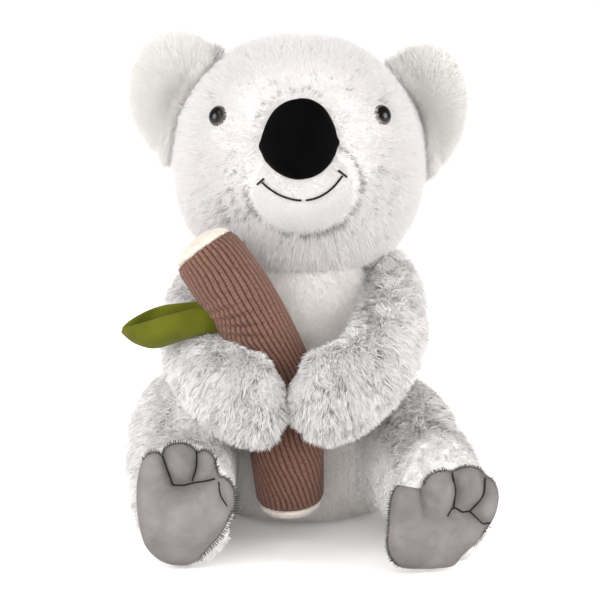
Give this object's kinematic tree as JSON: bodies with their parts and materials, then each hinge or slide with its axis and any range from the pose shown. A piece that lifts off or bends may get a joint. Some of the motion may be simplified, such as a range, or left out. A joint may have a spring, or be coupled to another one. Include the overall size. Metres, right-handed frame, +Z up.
{
  "type": "plush koala",
  "caption": "Seated plush koala hugging a corduroy branch with a velvet leaf; the head turns, the ears fold, the arms open, the legs splay and the leaf flaps.",
  "frame": {"origin": "middle of the flat seat, on the surface that the koala sits on", "axes": "+Z up; the koala faces -Y; +X is to the right of a viewer who faces it"},
  "size_m": [0.247, 0.242, 0.3348],
  "materials": {
    "torso_plush": "matte plush",
    "head_fur": "matte fur",
    "muzzle_plush": "matte plush",
    "nose_velvet": "velvet",
    "black_thread": "satin thread",
    "ear_plush": "matte long pile",
    "eye_plastic": "gloss",
    "washer_plastic": "matte",
    "arm_fur": "matte shaggy fur",
    "leg_fur": "matte shaggy fur",
    "sole_suede": "short suede-like pile",
    "branch_corduroy": "corduroy",
    "cap_plush": "matte plush",
    "leaf_velvet": "velvet"
  },
  "bodies": {
    "body": {"torso": "torso_plush", "branch": "branch_corduroy", "branch_cap_top": "cap_plush", "branch_cap_bottom": "cap_plush"},
    "face": {"head": "head_fur", "muzzle": "muzzle_plush", "nose": "nose_velvet", "mouth_thread": "black_thread", "eye_left": "eye_plastic", "eye_right": "eye_plastic", "eye_washer_left": "washer_plastic", "eye_washer_right": "washer_plastic"},
    "left_ear": {"ear_left": "ear_plush"},
    "right_ear": {"ear_right": "ear_plush"},
    "left_arm": {"arm_left": "arm_fur"},
    "right_arm": {"arm_right": "arm_fur"},
    "left_leg": {"leg_left": "leg_fur", "sole_left": "sole_suede", "toe_thread_left": "black_thread", "thumb_thread_left": "black_thread"},
    "right_leg": {"leg_right": "leg_fur", "sole_right": "sole_suede", "toe_thread_right": "black_thread", "thumb_thread_right": "black_thread"},
    "branch_leaf": {"leaf": "leaf_velvet"}
  },
  "joints": [
    {"name": "neck_turn", "type": "hinge", "parent": "body", "child": "face", "pos_m": [0, -0.005, 0.169], "axis": [0, 0, 1], "range_deg": [-10, 10]},
    {"name": "ear_left_fold", "type": "hinge", "parent": "face", "child": "left_ear", "pos_m": [-0.06834, 0, 0.28216], "axis": [0.4384, 0, 0.8988], "range_deg": [-8, 8]},
    {"name": "ear_right_fold", "type": "hinge", "parent": "face", "child": "right_ear", "pos_m": [0.06834, 0, 0.28216], "axis": [-0.4384, 0, 0.8988], "range_deg": [-8, 8]},
    {"name": "arm_left_open", "type": "hinge", "parent": "body", "child": "left_arm", "pos_m": [-0.06138, 0.006, 0.152], "axis": [-0.342, 0, -0.9397], "range_deg": [0, 5]},
    {"name": "arm_right_open", "type": "hinge", "parent": "body", "child": "right_arm", "pos_m": [0.06138, 0.006, 0.152], "axis": [-0.342, 0, 0.9397], "range_deg": [0, 8]},
    {"name": "leg_left_splay", "type": "hinge", "parent": "body", "child": "left_leg", "pos_m": [-0.07663, 0.01, 0.053], "axis": [0, 0, -1], "range_deg": [0, 8]},
    {"name": "leg_right_splay", "type": "hinge", "parent": "body", "child": "right_leg", "pos_m": [0.07663, 0.01, 0.053], "axis": [0, 0, 1], "range_deg": [0, 8]},
    {"name": "leaf_flap", "type": "hinge", "parent": "body", "child": "branch_leaf", "pos_m": [-0.05157, -0.09102, 0.13911], "axis": [-0.5165, 0.0811, 0.8524], "range_deg": [0, 8]}
  ]
}
